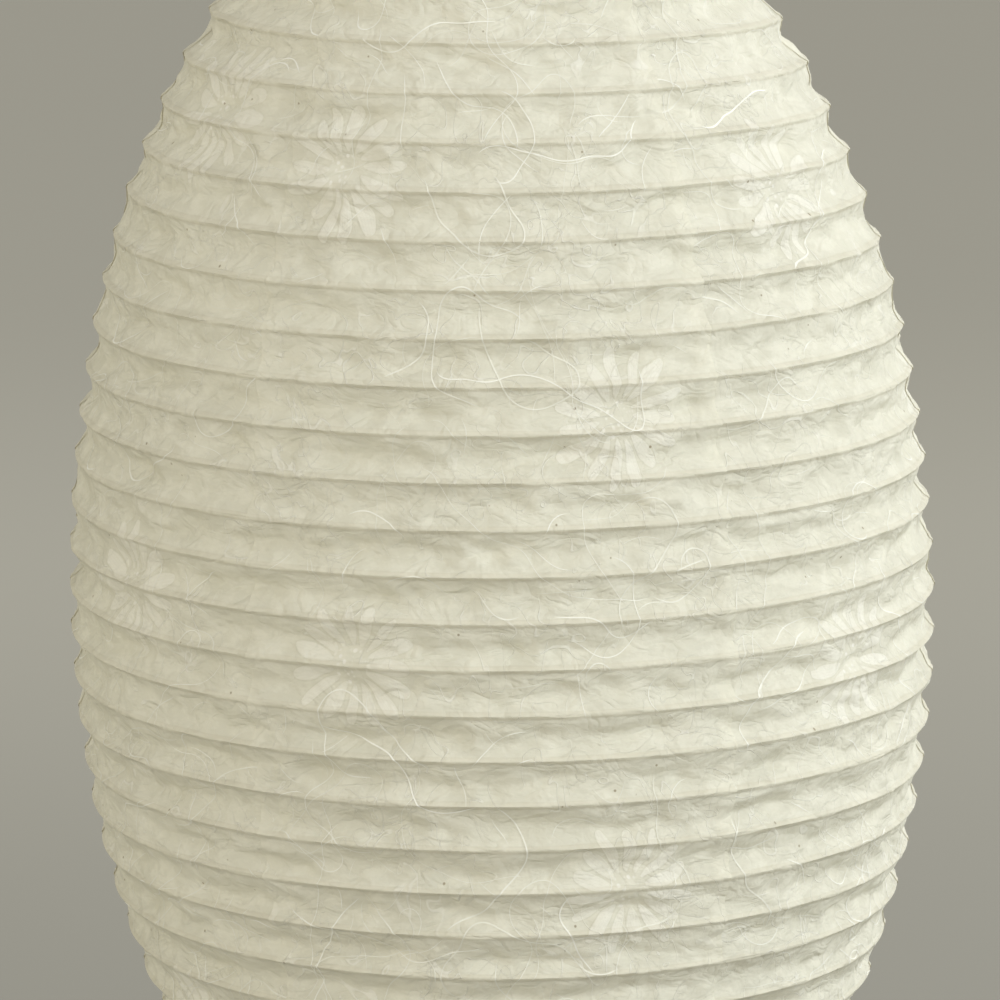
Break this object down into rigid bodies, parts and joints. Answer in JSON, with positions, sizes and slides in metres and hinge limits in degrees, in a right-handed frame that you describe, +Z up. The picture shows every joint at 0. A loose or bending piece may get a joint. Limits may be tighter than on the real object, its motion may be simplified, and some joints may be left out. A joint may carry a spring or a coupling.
{
  "type": "accordion paper lantern",
  "caption": "Hanging accordion paper lantern: pleated egg-shaped paper body on a spiral bamboo rib, bentwood rims, candle cup, and a swivelling wire bail with a wooden grip; it folds flat.",
  "frame": {"origin": "centre of the hole in the hanging eye", "axes": "+Z up, along the lantern's centre line; +X through the two pivots of the bail; +Y along the hanging hole"},
  "size_m": [0.25, 0.25, 0.5562],
  "materials": {
    "brass": "aged satin",
    "dish_steel": "satin",
    "bail_steel": "satin black wire",
    "bamboo": "split bamboo",
    "washi": "matt fibrous mulberry paper",
    "trim_paper": "matt",
    "bentwood": "oiled",
    "turned_wood": "oiled"
  },
  "bodies": {
    "hanger": {"hang_eye": "brass", "swivel_washers": "brass"},
    "bail": {"grip_bar": "turned_wood", "grip_ferrules": "brass", "bail_wire_right": "bail_steel", "bail_wire_left": "bail_steel"},
    "upper_rim": {"upper_rim": "bentwood", "upper_trim": "trim_paper", "pivot_plate_right": "brass", "pivot_plate_left": "brass", "pivot_rivet_right": "brass", "pivot_rivet_left": "brass", "pivot_washers": "brass", "rib_turn_31": "bamboo", "paper_gore_1": "washi", "paper_gore_2": "washi", "paper_gore_3": "washi", "paper_gore_4": "washi", "paper_gore_5": "washi", "paper_gore_6": "washi"},
    "lower_rim": {"lower_rim": "bentwood", "lower_trim": "trim_paper", "candle_bar": "turned_wood", "bar_screws": "brass", "candle_dish": "dish_steel", "candle_cup": "brass", "cup_screw": "brass", "cup_washer": "brass", "cup_nut": "brass", "rib_turn_01": "bamboo"},
    "spiral_turn_30": {"rib_turn_30": "bamboo"},
    "spiral_turn_29": {"rib_turn_29": "bamboo"},
    "spiral_turn_28": {"rib_turn_28": "bamboo"},
    "spiral_turn_27": {"rib_turn_27": "bamboo"},
    "spiral_turn_26": {"rib_turn_26": "bamboo"},
    "spiral_turn_25": {"rib_turn_25": "bamboo"},
    "spiral_turn_24": {"rib_turn_24": "bamboo"},
    "spiral_turn_23": {"rib_turn_23": "bamboo"},
    "spiral_turn_22": {"rib_turn_22": "bamboo"},
    "spiral_turn_21": {"rib_turn_21": "bamboo"},
    "spiral_turn_20": {"rib_turn_20": "bamboo"},
    "spiral_turn_19": {"rib_turn_19": "bamboo"},
    "spiral_turn_18": {"rib_turn_18": "bamboo"},
    "spiral_turn_17": {"rib_turn_17": "bamboo"},
    "spiral_turn_16": {"rib_turn_16": "bamboo"},
    "spiral_turn_15": {"rib_turn_15": "bamboo"},
    "spiral_turn_14": {"rib_turn_14": "bamboo"},
    "spiral_turn_13": {"rib_turn_13": "bamboo"},
    "spiral_turn_12": {"rib_turn_12": "bamboo"},
    "spiral_turn_11": {"rib_turn_11": "bamboo"},
    "spiral_turn_10": {"rib_turn_10": "bamboo"},
    "spiral_turn_09": {"rib_turn_09": "bamboo"},
    "spiral_turn_08": {"rib_turn_08": "bamboo"},
    "spiral_turn_07": {"rib_turn_07": "bamboo"},
    "spiral_turn_06": {"rib_turn_06": "bamboo"},
    "spiral_turn_05": {"rib_turn_05": "bamboo"},
    "spiral_turn_04": {"rib_turn_04": "bamboo"},
    "spiral_turn_03": {"rib_turn_03": "bamboo"},
    "spiral_turn_02": {"rib_turn_02": "bamboo"}
  },
  "joints": [
    {"name": "swivel", "type": "hinge", "parent": "hanger", "child": "bail", "pos_m": [0, 0, 0], "axis": [0, 0, 1], "continuous": true},
    {"name": "bail_swing", "type": "hinge", "parent": "bail", "child": "upper_rim", "pos_m": [0, 0, -0.115], "axis": [1, 0, 0], "range_deg": [-90, 90]},
    {"name": "fold", "type": "slide", "parent": "upper_rim", "child": "lower_rim", "axis": [0, 0, 1], "range_m": [0, 0.327], "deforming": ["paper_gore_1", "paper_gore_2", "paper_gore_3", "paper_gore_4", "paper_gore_5", "paper_gore_6"]},
    {"name": "turn_30_rise", "type": "slide", "parent": "upper_rim", "child": "spiral_turn_30", "axis": [0, 0, 1], "range_m": [0, 0.0109]},
    {"name": "turn_29_rise", "type": "slide", "parent": "upper_rim", "child": "spiral_turn_29", "axis": [0, 0, 1], "range_m": [0, 0.0218]},
    {"name": "turn_28_rise", "type": "slide", "parent": "upper_rim", "child": "spiral_turn_28", "axis": [0, 0, 1], "range_m": [0, 0.0327]},
    {"name": "turn_27_rise", "type": "slide", "parent": "upper_rim", "child": "spiral_turn_27", "axis": [0, 0, 1], "range_m": [0, 0.0436]},
    {"name": "turn_26_rise", "type": "slide", "parent": "upper_rim", "child": "spiral_turn_26", "axis": [0, 0, 1], "range_m": [0, 0.0545]},
    {"name": "turn_25_rise", "type": "slide", "parent": "upper_rim", "child": "spiral_turn_25", "axis": [0, 0, 1], "range_m": [0, 0.0654]},
    {"name": "turn_24_rise", "type": "slide", "parent": "upper_rim", "child": "spiral_turn_24", "axis": [0, 0, 1], "range_m": [0, 0.0763]},
    {"name": "turn_23_rise", "type": "slide", "parent": "upper_rim", "child": "spiral_turn_23", "axis": [0, 0, 1], "range_m": [0, 0.0872]},
    {"name": "turn_22_rise", "type": "slide", "parent": "upper_rim", "child": "spiral_turn_22", "axis": [0, 0, 1], "range_m": [0, 0.0981]},
    {"name": "turn_21_rise", "type": "slide", "parent": "upper_rim", "child": "spiral_turn_21", "axis": [0, 0, 1], "range_m": [0, 0.109]},
    {"name": "turn_20_rise", "type": "slide", "parent": "upper_rim", "child": "spiral_turn_20", "axis": [0, 0, 1], "range_m": [0, 0.1199]},
    {"name": "turn_19_rise", "type": "slide", "parent": "upper_rim", "child": "spiral_turn_19", "axis": [0, 0, 1], "range_m": [0, 0.1308]},
    {"name": "turn_18_rise", "type": "slide", "parent": "upper_rim", "child": "spiral_turn_18", "axis": [0, 0, 1], "range_m": [0, 0.1417]},
    {"name": "turn_17_rise", "type": "slide", "parent": "upper_rim", "child": "spiral_turn_17", "axis": [0, 0, 1], "range_m": [0, 0.1526]},
    {"name": "turn_16_rise", "type": "slide", "parent": "upper_rim", "child": "spiral_turn_16", "axis": [0, 0, 1], "range_m": [0, 0.1635]},
    {"name": "turn_15_rise", "type": "slide", "parent": "upper_rim", "child": "spiral_turn_15", "axis": [0, 0, 1], "range_m": [0, 0.1744]},
    {"name": "turn_14_rise", "type": "slide", "parent": "upper_rim", "child": "spiral_turn_14", "axis": [0, 0, 1], "range_m": [0, 0.1853]},
    {"name": "turn_13_rise", "type": "slide", "parent": "upper_rim", "child": "spiral_turn_13", "axis": [0, 0, 1], "range_m": [0, 0.1962]},
    {"name": "turn_12_rise", "type": "slide", "parent": "upper_rim", "child": "spiral_turn_12", "axis": [0, 0, 1], "range_m": [0, 0.2071]},
    {"name": "turn_11_rise", "type": "slide", "parent": "upper_rim", "child": "spiral_turn_11", "axis": [0, 0, 1], "range_m": [0, 0.218]},
    {"name": "turn_10_rise", "type": "slide", "parent": "upper_rim", "child": "spiral_turn_10", "axis": [0, 0, 1], "range_m": [0, 0.2289]},
    {"name": "turn_09_rise", "type": "slide", "parent": "upper_rim", "child": "spiral_turn_09", "axis": [0, 0, 1], "range_m": [0, 0.2398]},
    {"name": "turn_08_rise", "type": "slide", "parent": "upper_rim", "child": "spiral_turn_08", "axis": [0, 0, 1], "range_m": [0, 0.2507]},
    {"name": "turn_07_rise", "type": "slide", "parent": "upper_rim", "child": "spiral_turn_07", "axis": [0, 0, 1], "range_m": [0, 0.2616]},
    {"name": "turn_06_rise", "type": "slide", "parent": "upper_rim", "child": "spiral_turn_06", "axis": [0, 0, 1], "range_m": [0, 0.2725]},
    {"name": "turn_05_rise", "type": "slide", "parent": "upper_rim", "child": "spiral_turn_05", "axis": [0, 0, 1], "range_m": [0, 0.2834]},
    {"name": "turn_04_rise", "type": "slide", "parent": "upper_rim", "child": "spiral_turn_04", "axis": [0, 0, 1], "range_m": [0, 0.2943]},
    {"name": "turn_03_rise", "type": "slide", "parent": "upper_rim", "child": "spiral_turn_03", "axis": [0, 0, 1], "range_m": [0, 0.3052]},
    {"name": "turn_02_rise", "type": "slide", "parent": "upper_rim", "child": "spiral_turn_02", "axis": [0, 0, 1], "range_m": [0, 0.3161]}
  ],
  "couplings": [
    {"joint": "turn_30_rise", "follows": "fold", "ratio": 0.033333},
    {"joint": "turn_29_rise", "follows": "fold", "ratio": 0.066667},
    {"joint": "turn_28_rise", "follows": "fold", "ratio": 0.1},
    {"joint": "turn_27_rise", "follows": "fold", "ratio": 0.13333},
    {"joint": "turn_26_rise", "follows": "fold", "ratio": 0.16667},
    {"joint": "turn_25_rise", "follows": "fold", "ratio": 0.2},
    {"joint": "turn_24_rise", "follows": "fold", "ratio": 0.23333},
    {"joint": "turn_23_rise", "follows": "fold", "ratio": 0.26667},
    {"joint": "turn_22_rise", "follows": "fold", "ratio": 0.3},
    {"joint": "turn_21_rise", "follows": "fold", "ratio": 0.33333},
    {"joint": "turn_20_rise", "follows": "fold", "ratio": 0.36667},
    {"joint": "turn_19_rise", "follows": "fold", "ratio": 0.4},
    {"joint": "turn_18_rise", "follows": "fold", "ratio": 0.43333},
    {"joint": "turn_17_rise", "follows": "fold", "ratio": 0.46667},
    {"joint": "turn_16_rise", "follows": "fold", "ratio": 0.5},
    {"joint": "turn_15_rise", "follows": "fold", "ratio": 0.53333},
    {"joint": "turn_14_rise", "follows": "fold", "ratio": 0.56667},
    {"joint": "turn_13_rise", "follows": "fold", "ratio": 0.6},
    {"joint": "turn_12_rise", "follows": "fold", "ratio": 0.63333},
    {"joint": "turn_11_rise", "follows": "fold", "ratio": 0.66667},
    {"joint": "turn_10_rise", "follows": "fold", "ratio": 0.7},
    {"joint": "turn_09_rise", "follows": "fold", "ratio": 0.73333},
    {"joint": "turn_08_rise", "follows": "fold", "ratio": 0.76667},
    {"joint": "turn_07_rise", "follows": "fold", "ratio": 0.8},
    {"joint": "turn_06_rise", "follows": "fold", "ratio": 0.83333},
    {"joint": "turn_05_rise", "follows": "fold", "ratio": 0.86667},
    {"joint": "turn_04_rise", "follows": "fold", "ratio": 0.9},
    {"joint": "turn_03_rise", "follows": "fold", "ratio": 0.93333},
    {"joint": "turn_02_rise", "follows": "fold", "ratio": 0.96667}
  ]
}
